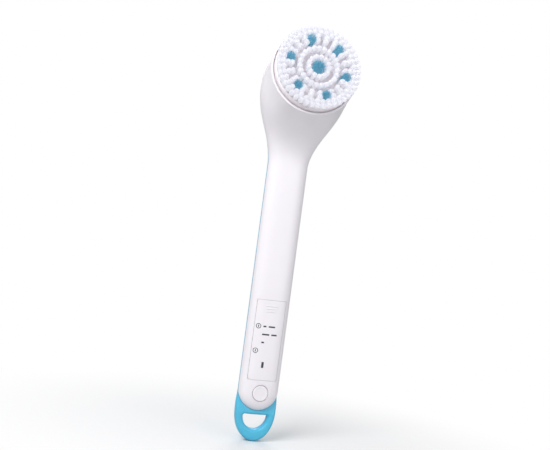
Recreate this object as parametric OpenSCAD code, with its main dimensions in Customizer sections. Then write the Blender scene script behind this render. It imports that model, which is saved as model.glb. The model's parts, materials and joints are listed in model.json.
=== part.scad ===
// Facial cleansing brush: a two-cell handle with a geared rotary brush head.
// Z runs up the handle from the hanging hole, -Y is the brush side, +X is right seen from the front.

/* [Handle] */
// Width of the handle
handle_width = 33.4; // [32.6:0.2:36]
// Depth of the handle, front to back
handle_depth = 20.5; // [19.8:0.1:23]
// Height of the lowest point of the white front shell
front_tip_z = 9.7; // [8:0.1:11]
// Height at which the neck starts to widen
neck_z = 214; // [210:1:218]
// Thickness of the moulded shells
wall = 1.9; // [1.6:0.1:2.2]
// Squareness of the handle section (2 is an ellipse)
squareness = 2.6; // [2.2:0.1:3.2]

/* [Head] */
// Forward offset of the collar's centre from the handle's axis
collar_forward = 45; // [42:1:48]
// Height of the collar's centre above the hanging hole
collar_z = 286; // [280:1:292]
// Radius of the collar
collar_r = 35; // [34:0.5:37]
// Upward tilt of the brush's axis
head_tilt = 14.6; // [10:0.1:20]

/* [Hanging loop] */
// Half width of the loop beside its hole
loop_half_w = 16.9; // [16.5:0.1:18]
// Half width of the loop where it flares round the end of the front shell
loop_flare_w = 17.5; // [17:0.1:18.5]
// Distance from the hole's centre to the bottom of the loop
loop_drop = 16.2; // [15.5:0.1:20]
// Half width of the D-shaped hole
loop_hole_half_w = 10.9; // [8:0.1:12]
// Half height of the D-shaped hole
loop_hole_half_h = 6.4; // [4:0.1:7]
// Thickness of the loop, front to back
loop_depth = 9.6; // [8:0.1:12]

/* [Brush] */
// Radius of the brush base
brush_r = 32.8; // [31:0.1:33.1]
// Thickness of the brush base
brush_base_h = 5.2; // [4:0.1:6]
// Free length of the bristles
bristle_length = 9.8; // [7:0.1:12]

/* [Controls] */
// Height of the power button's centre
button_z = 25; // [23:0.5:25]
// Radius of the power button
button_r = 6.4; // [5:0.1:6.6]
// Travel of the power button
button_travel = 0.6; // [0.3:0.05:0.7]
// Lower edge of the battery door
door_z = 36; // [35:0.5:37]
// Upper edge of the battery door
door_top_z = 102; // [101:0.5:103]
// Half width of the battery door
door_half_w = 12.2; // [10:0.1:12.6]

/* [Gears] */
// Gear module
gear_module = 0.6; // [0.6:0.1:0.6]
// Teeth on the motor pinion and on the small compound gear
pinion_teeth = 10; // [10:1:10]
// Teeth on the large compound gear
compound_teeth = 40; // [40:1:40]
// Teeth on the output gear
output_teeth = 44; // [44:1:44]
// Direction of the compound gear from the spindle
compound_angle = 200; // [195:1:205]
// Direction of the motor from the compound gear
motor_angle = -33; // [-38:1:-28]

/* [Hidden] */
$fn = 64;

// General clearances
eps = 0.05;
parting_gap = 0.1;
run_gap = 0.05;
big = 400;

// Body loft
half_w = handle_width / 2;
half_d = handle_depth / 2;
dome_z = front_tip_z + half_w;
ring_points = 40;
fan_rings = 14;
dome_angles = [6, 20, 36, 54, 72];
dome_depth_power = 0.6;
neck_front_handle = [11, 238];
neck_rear_handle = [-10.25, 268];
collar_front_reach = 18;
collar_rear_reach = 46;
fan_width_power = 0.75;
fan_bulge = 0.24;

// Hanging loop
loop_shoulder_z = 8;
loop_flare_z = 17;
loop_front = -4.4;

// Head, measured along the spin axis from the collar's plane (positive is outwards)
rim_wall = 1.5;
recess_floor = -1.6;
front_wall_back = -4.2;
wall_hole_r = 7.5;
brush_back = -1;
brush_front = brush_back + brush_base_h;
cover_front = -5;
cover_back = -7;
upper_gear = [-11.2, -7.8];
lower_gear = [-15.4, -12];
base_floor = -16.2;
base_back = -18.6;
motor_length = 25;
end_cap_length = 3;
spindle_r = 3;
journal_r = 2;
drive_r = 2.9;
drive_flat = 2.2;
pin_r = 1.25;
shaft_r = 1;
screw_r = 1;
pilot_r = 1.05;
compound_distance = gear_module * (pinion_teeth + output_teeth) / 2;
motor_distance = gear_module * (pinion_teeth + compound_teeth) / 2;
compound_at = compound_distance * [cos(compound_angle), sin(compound_angle)];
motor_at = compound_at + motor_distance * [cos(motor_angle), sin(motor_angle)];
gear_backlash = 0.2;
gear_clear = 0.75;
ear_angles = [-45, 40, 135];
ear_distance = 17.8;
ear_r = 2.6;
motor_screw_x = 5.4;

// Cells and contacts
cell_r = 7.25;
cell_x = 7.3;
cell_body = 49;
cell_nub = 1.5;
compartment = [40.5, 98];
contact_t = 0.5;

// Wires, and the slot behind the cells that they run through
lead_r = 0.5;
wire_slot_half_w = 3;
wire_slot_y = [6.2, 8.1];
wire_slot_z = [compartment[0] - 5, compartment[1] + 3];
lead_y = 7.2;
battery_lead_x = 2.2;
motor_lead_x = 0.8;

// Board and switch
board_z = [16.5, 38];
board_y = [-0.5, 0.7];
board_half_w = 9.5;
board_screw_z = 34.5;
board_screw_x = 6.5;
switch_half = 3;
switch_y = [-3.9, -0.6];
plunger_y = [-4.95, -3];
button_y = -10;
flange_y = [-6.9, -6];
land_y = -7;

// Screws that hold the shells together: x, z, and depth of the head's seat
shell_screw_places = [[0, 112, 3.4], [0, 206, 3.4], [-20, 262, 2.4], [20, 262, 2.4]];

white_plastic = [0.93, 0.91, 0.93];
blue_plastic = [0.42, 0.78, 0.89];
blue_bristle = [0.05, 0.50, 0.66];
dark_plastic = [0.25, 0.26, 0.28];
natural_nylon = [0.88, 0.87, 0.80];
steel = [0.72, 0.73, 0.75];
brass = [0.80, 0.66, 0.34];

// ---------- curves ----------

function bezier(p, t) =
    pow(1 - t, 3) * p[0] + 3 * t * pow(1 - t, 2) * p[1] + 3 * t * t * (1 - t) * p[2] + pow(t, 3) * p[3];

function smooth(t) = t * t * (3 - 2 * t);

function signed_power(v, e) = sign(v) * pow(abs(v), e);

// Unit superellipse of exponent e
function section_points(e) =
    [for (i = [0 : ring_points - 1])
        let (a = 360 * i / ring_points)
        [signed_power(cos(a), 2 / e), signed_power(sin(a), 2 / e)]];

// One ring: front and rear are [forward, z] of its two middle points, w its half width
function body_ring(front, rear, w, e) =
    let (c = (front + rear) / 2, h = (front - rear) / 2)
    [for (p = section_points(e)) [w * p[0], -(c[0] + h[0] * p[1]), c[1] + h[1] * p[1]]];

function dome_ring(a, inset) =
    let (s = sin(a), d = (half_d - inset) * pow(s, dome_depth_power), w = (half_w - inset) * s,
         z = dome_z - (half_w - inset) * cos(a))
    body_ring([d, z], [-d, z], w, squareness);

// Ring u of the head's fan, drawn in by inset, its last ring set back by back
function fan_ring(u, inset, back) =
    let (n = [cos(head_tilt), sin(head_tilt)], t = [-n[1], n[0]], r = collar_r - inset,
         c = [collar_forward, collar_z] + back * n,
         step = [inset, 0],
         front = bezier([[half_d, neck_z] - step, neck_front_handle - step,
                         c - r * t - (collar_front_reach + back) * n, c - r * t], u),
         rear = bezier([[-half_d, neck_z] + step, neck_rear_handle + step,
                        c + r * t - (collar_rear_reach + back - 2.5 * inset) * n, c + r * t], u),
         w = half_w - inset + (collar_r - half_w)
             * (smooth(pow(u, fan_width_power)) + fan_bulge * pow(sin(180 * u), 2)))
    body_ring(front, rear, w, squareness + (2 - squareness) * u);

function body_rings(inset, back) = concat(
    [for (a = dome_angles) dome_ring(a, inset)],
    [dome_ring(90, inset)],
    [for (i = [0 : fan_rings]) fan_ring(i / fan_rings, inset, back)]);

// Closed solid through a list of rings that all have the same number of points
module loft(rings) {
    n = len(rings[0]);
    last = (len(rings) - 1) * n;
    sides = [for (r = [0 : len(rings) - 2], i = [0 : n - 1])
        let (j = (i + 1) % n, a = r * n) each [[a + i, a + n + j, a + n + i], [a + i, a + j, a + n + j]]];
    polyhedron(
        points = [for (ring = rings) each ring],
        faces = concat(sides, [[for (i = [n - 1 : -1 : 0]) i]], [[for (i = [0 : n - 1]) last + i]]));
}

function unit(v) = v / norm(v);

// Point of a line from a towards b, at most reach and at most half way along
function step_towards(a, b, reach) = a + min(reach, norm(b - a) / 2) * unit(b - a);

// Straight stretches between the given points, each inner corner rounded over reach to either side
function rounded_path(p, reach, steps) = concat(
    [p[0]],
    [for (i = [1 : len(p) - 2], k = [0 : steps])
        let (t = k / steps, a = step_towards(p[i], p[i - 1], reach),
             b = step_towards(p[i], p[i + 1], reach))
        (1 - t) * (1 - t) * a + 2 * t * (1 - t) * p[i] + t * t * b],
    [p[len(p) - 1]]);

function tube_ring(c, dir, r, sides) =
    let (side = unit(cross(dir, [0.3, 1, 0.2])), up = cross(side, dir))
    [for (i = [0 : sides - 1]) c + r * (cos(360 * i / sides) * side + sin(360 * i / sides) * up)];

// Round tube of radius r along straight stretches with rounded corners
module path_tube(p, r, reach = 3, steps = 4, sides = 8) {
    centres = rounded_path(p, reach, steps);
    last = len(centres) - 1;
    loft([for (k = [0 : last])
        tube_ring(centres[k], unit(centres[min(k + 1, last)] - centres[max(k - 1, 0)]), r, sides)]);
}

// ---------- placing helpers ----------

// Place of a point given by at (across, up the collar) and its height z along the spin axis
function spin_point(at, z) =
    [at[0],
     at[1] * sin(head_tilt) - z * cos(head_tilt) - collar_forward,
     at[1] * cos(head_tilt) + z * sin(head_tilt) + collar_z];

// Local z is the spin axis, pointing out of the brush; local y points up the collar
module on_spin_axis(at = [0, 0], z = 0) {
    translate([0, -collar_forward, collar_z])
        rotate([90 - head_tilt, 0, 0])
            translate([at[0], at[1], z])
                children();
}

// Cylinder along Y between two depths
module y_cylinder(x, z, r, y0, y1) {
    translate([x, y1, z])
        rotate([90, 0, 0])
            cylinder(h = y1 - y0, r = r);
}

module block(low, high) {
    translate(low)
        cube(high - low);
}

// Disc or ring on the spin axis between two heights
module axial(r, span, at = [0, 0]) {
    on_spin_axis(at, span[0])
        cylinder(h = span[1] - span[0], r = r);
}

module ring(outer, inner, span, at = [0, 0]) {
    difference() {
        axial(outer, span, at);
        axial(inner, [span[0] - 1, span[1] + 1], at);
    }
}

// ---------- body solids ----------

module body_outer(grow = 0) {
    loft(body_rings(-grow, 0));
}

module body_inner() {
    loft(body_rings(wall, front_wall_back));
}

module front_half() {
    block([-big, -big, -big], [big, -parting_gap / 2, big]);
}

module rear_half() {
    block([-big, parting_gap / 2, -big], [big, big, big]);
}

// Material that stays inside the front shell: button land, screw posts
module front_blocks() {
    y_cylinder(0, button_z, button_r + 2, -big, land_y);
    for (s = shell_screw_places)
        if (s[0] == 0)
            y_cylinder(s[0], s[1], 3, -big, big);
        else
            intersection() {
                union() {
                    y_cylinder(s[0], s[1], 3, -12, big);
                    block([-big, -12, s[1] - 1], [big, big, s[1] + 1]);
                }
                block([s[0] > 0 ? s[0] - 3 : -big, -big, 0], [s[0] > 0 ? big : s[0] + 3, big, big]);
            }
}

module front_shell() {
    color(white_plastic)
        difference() {
            intersection() {
                body_outer();
                front_half();
            }
            difference() {
                body_inner();
                front_blocks();
            }
            axial(collar_r - rim_wall, [recess_floor, 20]);
            axial(wall_hole_r, [-30, 20]);
            for (a = ear_angles)
                axial(pilot_r, [-30, recess_floor - 0.6], ear_distance * [cos(a), sin(a)]);
            for (s = shell_screw_places)
                y_cylinder(s[0], s[1], pilot_r, -6.5, 10);
            y_cylinder(0, button_z, button_r + 0.3, -20, 20);
            translate([0, -half_d + 0.9, button_z])
                rotate([90, 0, 0])
                    cylinder(h = 1, r1 = button_r + 0.3, r2 = button_r + 1.4);
            block([-door_half_w - 0.3, -20, door_z - 0.3], [door_half_w + 0.3, -4, door_top_z + 0.5]);
        }
}

// Ribs and posts that stay inside the rear shell
module rear_blocks() {
    block([-big, -big, compartment[0] - 1.5], [big, big, compartment[0]]);
    block([-big, -big, compartment[1]], [big, big, compartment[1] + 1.5]);
    for (z = [56, 82])
        difference() {
            block([-9, 4, z - 0.6], [9, big, z + 0.6]);
            for (side = [-1, 1])
                translate([side * cell_x, 0, z - 2])
                    cylinder(h = 4, r = cell_r + 0.1);
        }
    for (s = shell_screw_places)
        y_cylinder(s[0], s[1], 4.2, -big, big);
    for (side = [-1, 1])
        y_cylinder(side * board_screw_x, board_screw_z, 2.2, board_y[1], big);
}

// End walls of the cell compartment, where they reach forward into the front shell
module compartment_walls() {
    block([-11.5, -6, compartment[0] - 1.5], [11.5, 1, compartment[0]]);
    block([-11.5, -6, compartment[1]], [11.5, 1, compartment[1] + 1.5]);
}

// Outline of the loop: half an ellipse that flares, then tapers into the handle's sides.
// The hole is half an ellipse under a straight top edge, and its middle is the origin.
module loop_outline() {
    difference() {
        polygon(concat(
            [for (a = [180 : 5 : 360])
                [loop_half_w * cos(a), loop_shoulder_z + (loop_drop + loop_shoulder_z) * sin(a)]],
            [[loop_flare_w, loop_flare_z], [half_w, dome_z + 1],
             [-half_w, dome_z + 1], [-loop_flare_w, loop_flare_z]]));
        polygon([for (a = [180 : 5 : 360])
            [loop_hole_half_w * cos(a), loop_hole_half_h * (1 + 2 * sin(a))]]);
    }
}

module loop_plate() {
    front_face = [[loop_front, -20], [loop_front, loop_shoulder_z], [0.5, dome_z + 1]];
    rear_face = [[2, dome_z + 1], [loop_front + loop_depth, loop_shoulder_z], [loop_front + loop_depth, -20]];
    intersection() {
        translate([0, 20, 0])
            rotate([90, 0, 0])
                linear_extrude(height = 40)
                    loop_outline();
        rotate([90, 0, 90])
            translate([0, 0, -20])
                linear_extrude(height = 40)
                    polygon(concat(front_face, rear_face));
    }
}

module rear_shell() {
    color(blue_plastic)
        difference() {
            union() {
                difference() {
                    union() {
                        intersection() {
                            body_outer();
                            rear_half();
                        }
                        difference() {
                            loop_plate();
                            intersection() {
                                body_outer(0.12);
                                block([-big, -big, -big], [big, parting_gap / 2, big]);
                            }
                        }
                    }
                    difference() {
                        body_inner();
                        rear_blocks();
                    }
                }
                compartment_walls();
            }
            for (s = shell_screw_places) {
                y_cylinder(s[0], s[1], screw_r + 0.2, -20, 20);
                y_cylinder(s[0], s[1], 2.8, s[2], 40);
            }
            for (side = [-1, 1])
                y_cylinder(side * board_screw_x, board_screw_z, pilot_r, -2, 6);
            block([-wire_slot_half_w, wire_slot_y[0], wire_slot_z[0]],
                  [wire_slot_half_w, wire_slot_y[1], wire_slot_z[1]]);
            block([-big, half_d - 0.25, -big], [big, big, big]);
        }
}

// Silicone cord in the joint between the shells
module shell_seal() {
    color(dark_plastic)
        intersection() {
            difference() {
                loft(body_rings(0.7, front_wall_back + 0.6));
                loft(body_rings(1.3, front_wall_back));
            }
            block([-big, -parting_gap / 2, 20], [big, parting_gap / 2, big]);
        }
}

// ---------- battery door ----------

module handle_section(inset) {
    polygon([for (p = section_points(squareness)) [(half_w - inset) * p[0], (half_d - inset) * p[1]]]);
}

module battery_door() {
    tongue_half_w = 4;
    color(white_plastic) {
        intersection() {
            translate([0, 0, door_z])
                linear_extrude(height = door_top_z - door_z)
                    difference() {
                        handle_section(0);
                        handle_section(wall);
                    }
            block([-door_half_w, -20, 0], [door_half_w, -4, 200]);
        }
        // Lower tongue and upper latch tab
        block([-tongue_half_w, -9, door_z], [tongue_half_w, -6.9, door_z + 3]);
        block([-tongue_half_w, -8, door_z - 2.5], [tongue_half_w, -6.9, door_z + 1]);
        block([-tongue_half_w, -9, door_top_z - 2], [tongue_half_w, -4, door_top_z - 0.8]);
    }
}

// ---------- power button and switch ----------

module power_button() {
    color(white_plastic) {
        y_cylinder(0, button_z, button_r, button_y, flange_y[0] + eps);
        y_cylinder(0, button_z, button_r + 0.9, flange_y[0], flange_y[1]);
        y_cylinder(0, button_z, 1.6, flange_y[1] - eps, plunger_y[0] - eps);
    }
}

module switch_plunger() {
    color(dark_plastic)
        y_cylinder(0, button_z, 1.7, plunger_y[0], plunger_y[1]);
}

module switch_body() {
    color(steel)
        difference() {
            block([-switch_half, switch_y[0], button_z - switch_half],
                  [switch_half, switch_y[1], button_z + switch_half]);
            y_cylinder(0, button_z, 1.8, switch_y[0] - 1, plunger_y[1] + button_travel + 0.2);
        }
}

module control_board() {
    color([0.10, 0.38, 0.22])
        difference() {
            block([-board_half_w, board_y[0], board_z[0]], [board_half_w, board_y[1], board_z[1]]);
            for (side = [-1, 1])
                y_cylinder(side * board_screw_x, board_screw_z, pilot_r, -5, 5);
        }
}

module board_components() {
    color([0.12, 0.12, 0.13]) {
        block([-6, board_y[1], 20], [-2, board_y[1] + 1.5, 25]);
        block([2, board_y[1], 19], [5, board_y[1] + 1.1, 21]);
        block([2, board_y[1], 23], [5, board_y[1] + 1.1, 25]);
        y_cylinder(0, 30, 2.4, board_y[1], board_y[1] + 4.5);
        block([-8.5, board_y[0] - 1, 29], [-6.9, board_y[0], 31]);
        block([6.9, board_y[0] - 1, 29], [8.5, board_y[0], 31]);
    }
}

module board_screws() {
    color(steel)
        for (side = [-1, 1]) {
            y_cylinder(side * board_screw_x, board_screw_z, 1.8, board_y[0] - 1.2, board_y[0]);
            y_cylinder(side * board_screw_x, board_screw_z, screw_r, board_y[0] - eps, 5);
        }
}

// ---------- cells and contacts ----------

// side -1 stands nub up, side 1 stands nub down
module cell(side) {
    low = side < 0 ? compartment[1] - contact_t - 0.2 - cell_nub - cell_body
                   : compartment[0] + contact_t + 0.2 + cell_nub;
    nub_z = side < 0 ? low + cell_body - eps : low - cell_nub;
    translate([side * cell_x, 0, low])
        cylinder(h = cell_body, r = cell_r);
    translate([side * cell_x, 0, nub_z])
        cylinder(h = cell_nub + eps, r = 2.7);
}

module batteries() {
    color([0.30, 0.32, 0.36]) {
        cell(-1);
        cell(1);
    }
}

module contact_plates() {
    color(steel) {
        block([-11, -5, compartment[0]], [11, 5, compartment[0] + contact_t]);
        for (side = [-1, 1])
            translate([side * 6.75, 0, compartment[1] - contact_t])
                block([-4.25, -5, 0], [4.25, 5, contact_t]);
    }
}

// Conical spring of wire from height z0 to z1
module cone_spring(x, z0, z1) {
    turns = 3.5;
    steps = 42;
    wire = 0.35;
    sides = 6;
    function coil(t) =
        let (r = 4.6 - 1.8 * t, a = 360 * turns * t)
        [x + r * cos(a), r * sin(a), z0 + (z1 - z0) * t];
    loft([for (k = [0 : steps])
        tube_ring(coil(k / steps), unit(coil((k + 1) / steps) - coil((k - 1) / steps)), wire, sides)]);
}

module battery_springs() {
    color(steel) {
        cone_spring(-cell_x, compartment[0] + contact_t + 0.45, compartment[0] + 5.6);
        cone_spring(cell_x, compartment[1] - contact_t - 0.45, compartment[1] - 5.6);
    }
}

// From the board, up behind the cells, to the two upper contact plates
module battery_leads() {
    color([0.70, 0.12, 0.10])
        for (side = [-1, 1])
            path_tube([[side * 4.2, board_y[1] + lead_r + 0.2, 27],
                       [side * 3.6, 5.2, 33],
                       [side * battery_lead_x, lead_y, wire_slot_z[0] + 2.5],
                       [side * battery_lead_x, lead_y, compartment[1] - 2.8],
                       [side * 3.2, 5.8, compartment[1] - 0.7]], lead_r);
}

// From the board, through the same slot and past the screw posts, to the back of the motor
module motor_leads() {
    terminal = can_back - end_cap_length - 0.3;
    color([0.15, 0.15, 0.17])
        for (side = [-1, 1])
            path_tube([[side * 1.2, board_y[1] + lead_r + 0.2, 34],
                       [side * 1, 5.6, 36],
                       [side * motor_lead_x, lead_y, compartment[0] - 1],
                       [side * motor_lead_x, lead_y, wire_slot_z[1]],
                       [side * 6.5, 5.5, 110],
                       [side * 6.5, 5.5, 208],
                       [side * 5.5, 4.6, 235],
                       spin_point(motor_at + [side * 3.5, -1], terminal - 5),
                       spin_point(motor_at + [side * 3.5, 0], terminal)], lead_r);
}

// ---------- motor ----------

module can_outline(r, flat) {
    intersection() {
        circle(r = r);
        square([2 * r, 2 * flat], center = true);
    }
}

module motor_prism(r, flat, span) {
    on_spin_axis(motor_at, span[0])
        linear_extrude(height = span[1] - span[0])
            can_outline(r, flat);
}

can_back = base_back - motor_length;

module motor_can() {
    color(steel)
        difference() {
            union() {
                motor_prism(10, 7.55, [can_back, base_back]);
                axial(3, [base_back - eps, base_back + 1.2], motor_at);
            }
            motor_prism(9.3, 6.85, [can_back - 1, base_back - 0.8]);
            axial(shaft_r + run_gap, [can_back, 0], motor_at);
            for (side = [-1, 1])
                axial(0.85, [base_back - 2, 0], motor_at + [side * motor_screw_x, 0]);
        }
}

module motor_magnets() {
    color(dark_plastic)
        intersection() {
            ring(9.25, 6.6, [can_back + 3, base_back - 3], motor_at);
            union() {
                for (side = [-1, 1])
                    on_spin_axis(motor_at + [side * 8, 0], can_back)
                        translate([-3.2, -6.8, 0])
                            cube([6.4, 13.6, motor_length]);
            }
        }
}

module motor_end_cap() {
    color(natural_nylon)
        difference() {
            motor_prism(9.9, 7.45, [can_back - end_cap_length, can_back]);
            axial(shaft_r + run_gap, [can_back - 1.5, 0], motor_at);
        }
}

module motor_rotor() {
    core = [can_back + 4, base_back - 4];
    color([0.55, 0.36, 0.22]) {
        difference() {
            axial(6.2, core, motor_at);
            for (a = [90, 210, 330])
                on_spin_axis(motor_at, core[0] - 1)
                    rotate([0, 0, a])
                        translate([3.4, -0.9, 0])
                            cube([4, 1.8, 30]);
        }
        axial(2.4, [can_back + 0.4, core[0] + eps], motor_at);
        axial(shaft_r, [can_back - 1.2, lower_gear[1] + 0.3], motor_at);
    }
}

module motor_screws() {
    color(steel)
        for (side = [-1, 1]) {
            axial(1.4, [base_floor - 1.2, base_floor - 0.2], motor_at + [side * motor_screw_x, 0]);
            axial(0.8, [base_back - 1.6, base_floor - 1.2 + eps], motor_at + [side * motor_screw_x, 0]);
        }
}

// ---------- gears ----------

function involute(a) = tan(a) * 180 / PI - a;

// Half of a tooth's angle at radius r
function tooth_half_angle(teeth, r) =
    let (rp = gear_module * teeth / 2, rb = rp * cos(20), a = r > rb ? acos(rb / r) : 0)
    90 / teeth - gear_backlash / 4 / rp * 180 / PI + involute(20) - involute(a);

module gear_outline(teeth, phase) {
    rp = gear_module * teeth / 2;
    radii = [for (k = [-1.2, -0.7, -0.2, 0.3, 0.85]) rp + k * gear_module];
    polygon([for (i = [0 : teeth - 1]) each concat(
        [for (r = radii)
            let (a = phase + 360 * i / teeth - tooth_half_angle(teeth, r)) r * [cos(a), sin(a)]],
        [for (k = [len(radii) - 1 : -1 : 0])
            let (a = phase + 360 * i / teeth + tooth_half_angle(teeth, radii[k]))
            radii[k] * [cos(a), sin(a)]])]);
}

module gear(teeth, phase, at, span) {
    on_spin_axis(at, span[0])
        linear_extrude(height = span[1] - span[0])
            gear_outline(teeth, phase);
}

// Phase that puts a gap of a gear opposite a tooth that points along angle a
function gap_phase(teeth, a) = a + 180 + 180 / teeth;

module motor_pinion() {
    color(brass)
        difference() {
            gear(pinion_teeth, gap_phase(pinion_teeth, motor_angle), motor_at, lower_gear);
            axial(shaft_r, [-20, 0], motor_at);
        }
}

module compound_gear() {
    color(natural_nylon)
        difference() {
            union() {
                gear(pinion_teeth, gap_phase(pinion_teeth, compound_angle), compound_at,
                     [lower_gear[1] - eps, upper_gear[1]]);
                gear(compound_teeth, motor_angle, compound_at, lower_gear);
            }
            axial(pin_r + run_gap, [-20, 0], compound_at);
        }
}

module gear_pin() {
    color(steel)
        axial(pin_r, [base_back + 0.3, cover_front - 0.5], compound_at);
}

module output_gear() {
    color(natural_nylon)
        difference() {
            gear(output_teeth, compound_angle, [0, 0], upper_gear);
            axial(spindle_r, [-20, 0]);
        }
}

module output_spindle() {
    color(steel) {
        axial(journal_r, [base_back + 0.4, base_floor + 0.35]);
        axial(spindle_r, [base_floor + 0.3, -2.3]);
        on_spin_axis([0, 0], -2.3 - eps)
            linear_extrude(height = 4.5)
                can_outline(drive_r, drive_flat);
    }
}

module thrust_washer() {
    color(dark_plastic)
        ring(5, spindle_r + run_gap, [upper_gear[1] + 0.1, cover_back - 0.1]);
}

module spindle_bush() {
    color(brass)
        ring(4.6, spindle_r + run_gap, [cover_back, -3.4]);
}

module spindle_seal() {
    color(dark_plastic)
        ring(wall_hole_r - run_gap, spindle_r + run_gap, [-3.1, -2.3]);
}

// ---------- gearbox housing ----------

// Outline of the gear train grown by margin over each gear's tip circle
module train_outline(margin) {
    tip = 0.85 * gear_module + margin;
    circle(r = gear_module * output_teeth / 2 + tip);
    translate(compound_at)
        circle(r = gear_module * compound_teeth / 2 + tip);
    translate(motor_at)
        circle(r = gear_module * pinion_teeth / 2 + tip + 2);
}

module ear_outline() {
    for (a = ear_angles)
        translate(ear_distance * [cos(a), sin(a)])
            circle(r = ear_r);
}

module housing_holes(back, front) {
    for (a = ear_angles)
        axial(screw_r + run_gap, [back, front], ear_distance * [cos(a), sin(a)]);
}

module gearbox_base() {
    color(dark_plastic)
        difference() {
            on_spin_axis([0, 0], base_back)
                linear_extrude(height = cover_back - base_back)
                    union() {
                        train_outline(gear_clear + 1.2);
                        ear_outline();
                    }
            on_spin_axis([0, 0], base_floor)
                linear_extrude(height = 20)
                    train_outline(gear_clear);
            housing_holes(-30, 0);
            axial(journal_r + run_gap, [base_back - 1, 0]);
            axial(pin_r, [base_back - 1, 0], compound_at);
            axial(3 + run_gap, [base_back - 1, 0], motor_at);
            for (side = [-1, 1]) {
                axial(0.85, [base_back - 1, 0], motor_at + [side * motor_screw_x, 0]);
                axial(1.5, [base_floor - 1.2, 0], motor_at + [side * motor_screw_x, 0]);
            }
        }
}

module gearbox_cover() {
    color(dark_plastic)
        difference() {
            union() {
                on_spin_axis([0, 0], cover_back)
                    linear_extrude(height = cover_front - cover_back)
                        union() {
                            train_outline(gear_clear + 1.2);
                            ear_outline();
                        }
                axial(wall_hole_r - 0.3, [cover_back + 1, -3.4]);
            }
            housing_holes(-30, 0);
            axial(4.6, [-30, 0]);
            axial(pin_r + run_gap, [cover_back - 1, cover_front - 0.4], compound_at);
        }
}

module gearbox_screws() {
    color(steel)
        for (a = ear_angles) {
            at = ear_distance * [cos(a), sin(a)];
            axial(2, [base_back - 1.3, base_back], at);
            axial(screw_r, [base_back - eps, recess_floor - 1], at);
        }
}

module shell_screws() {
    color(steel)
        for (s = shell_screw_places) {
            y_cylinder(s[0], s[1], 2.5, s[2], s[2] + 1.6);
            y_cylinder(s[0], s[1], screw_r, -6, s[2] + eps);
        }
}

// ---------- brush head ----------

module brush_base() {
    edge = 0.8;
    color(white_plastic)
        difference() {
            union() {
                on_spin_axis()
                    rotate_extrude()
                        polygon([[0, brush_back], [brush_r - edge, brush_back],
                                 [brush_r, brush_back + edge], [brush_r, brush_front - edge],
                                 [brush_r - edge, brush_front], [0, brush_front]]);
                axial(5.5, [-2, brush_back + eps]);
            }
            on_spin_axis([0, 0], -3)
                linear_extrude(height = 5.4)
                    can_outline(drive_r + 0.08, drive_flat + 0.08);
        }
}

// Blue clusters: one in the middle and a ring of six, from the angle of the first
cluster_ring_r = 22.4;
cluster_count = 6;
cluster_phase = 108;
cluster_r = 3.3;

// White tufts: full rows as [radius, count], and the radii of the short rows between two clusters
white_rows = [[8, 13], [15, 23], [27.4, 40], [30.6, 44]];
between_rows = [20.9, 24.2];
between_shares = [0.21, 0.5, 0.79];
tuft_r = 1.3;

module tuft(r, radius, angle) {
    axial(r, [brush_front, brush_front + bristle_length], radius * [cos(angle), sin(angle)]);
}

module white_tufts() {
    color([0.96, 0.95, 0.96]) {
        for (row = white_rows, i = [0 : row[1] - 1])
            tuft(tuft_r, row[0], cluster_phase + 360 * i / row[1]);
        for (c = [0 : cluster_count - 1], radius = between_rows, share = between_shares)
            tuft(tuft_r, radius, cluster_phase + (c + share) * 360 / cluster_count);
    }
}

module blue_tufts() {
    color(blue_bristle) {
        tuft(cluster_r + 1, 0, 0);
        for (c = [0 : cluster_count - 1])
            tuft(cluster_r, cluster_ring_r, cluster_phase + 360 * c / cluster_count);
    }
}

front_shell();
rear_shell();
shell_seal();
battery_door();
power_button();
switch_plunger();
switch_body();
control_board();
board_components();
board_screws();
batteries();
battery_springs();
contact_plates();
battery_leads();
motor_leads();
motor_can();
motor_magnets();
motor_end_cap();
motor_rotor();
motor_pinion();
motor_screws();
gearbox_base();
gearbox_cover();
gearbox_screws();
gear_pin();
compound_gear();
output_gear();
output_spindle();
spindle_bush();
spindle_seal();
thrust_washer();
shell_screws();
brush_base();
white_tufts();
blue_tufts();
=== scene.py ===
"""Looks of the facial cleansing brush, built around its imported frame.

Lengths are in millimetres until a mesh is made. The frame: Z runs up the handle from the middle of
the hanging hole, -Y is the brush side, and +X is on the right seen from the front.
"""

import json
import math
import random
from collections import namedtuple

import bmesh
import bpy
from mathutils import Matrix, Vector

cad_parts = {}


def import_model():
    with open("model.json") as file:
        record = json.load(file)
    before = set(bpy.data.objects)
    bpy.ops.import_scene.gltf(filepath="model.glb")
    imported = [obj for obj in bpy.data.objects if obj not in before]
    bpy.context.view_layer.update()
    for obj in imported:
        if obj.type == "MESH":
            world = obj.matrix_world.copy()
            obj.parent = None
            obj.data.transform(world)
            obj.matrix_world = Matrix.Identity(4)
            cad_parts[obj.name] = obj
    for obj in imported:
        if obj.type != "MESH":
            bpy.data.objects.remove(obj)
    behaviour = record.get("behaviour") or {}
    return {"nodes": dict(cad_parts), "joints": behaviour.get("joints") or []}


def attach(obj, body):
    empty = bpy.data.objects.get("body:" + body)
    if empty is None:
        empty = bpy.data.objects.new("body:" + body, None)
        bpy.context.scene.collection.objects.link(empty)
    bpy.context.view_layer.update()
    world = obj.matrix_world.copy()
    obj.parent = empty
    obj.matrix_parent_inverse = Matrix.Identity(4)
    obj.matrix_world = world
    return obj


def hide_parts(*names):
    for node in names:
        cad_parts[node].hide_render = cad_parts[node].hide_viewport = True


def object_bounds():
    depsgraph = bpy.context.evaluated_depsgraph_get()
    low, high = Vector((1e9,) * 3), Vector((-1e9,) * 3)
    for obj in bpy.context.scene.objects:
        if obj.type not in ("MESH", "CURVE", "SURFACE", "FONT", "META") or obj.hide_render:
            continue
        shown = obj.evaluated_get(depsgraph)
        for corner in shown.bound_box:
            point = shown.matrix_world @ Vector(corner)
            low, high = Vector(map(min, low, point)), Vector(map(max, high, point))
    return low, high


MM = 0.001

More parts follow.
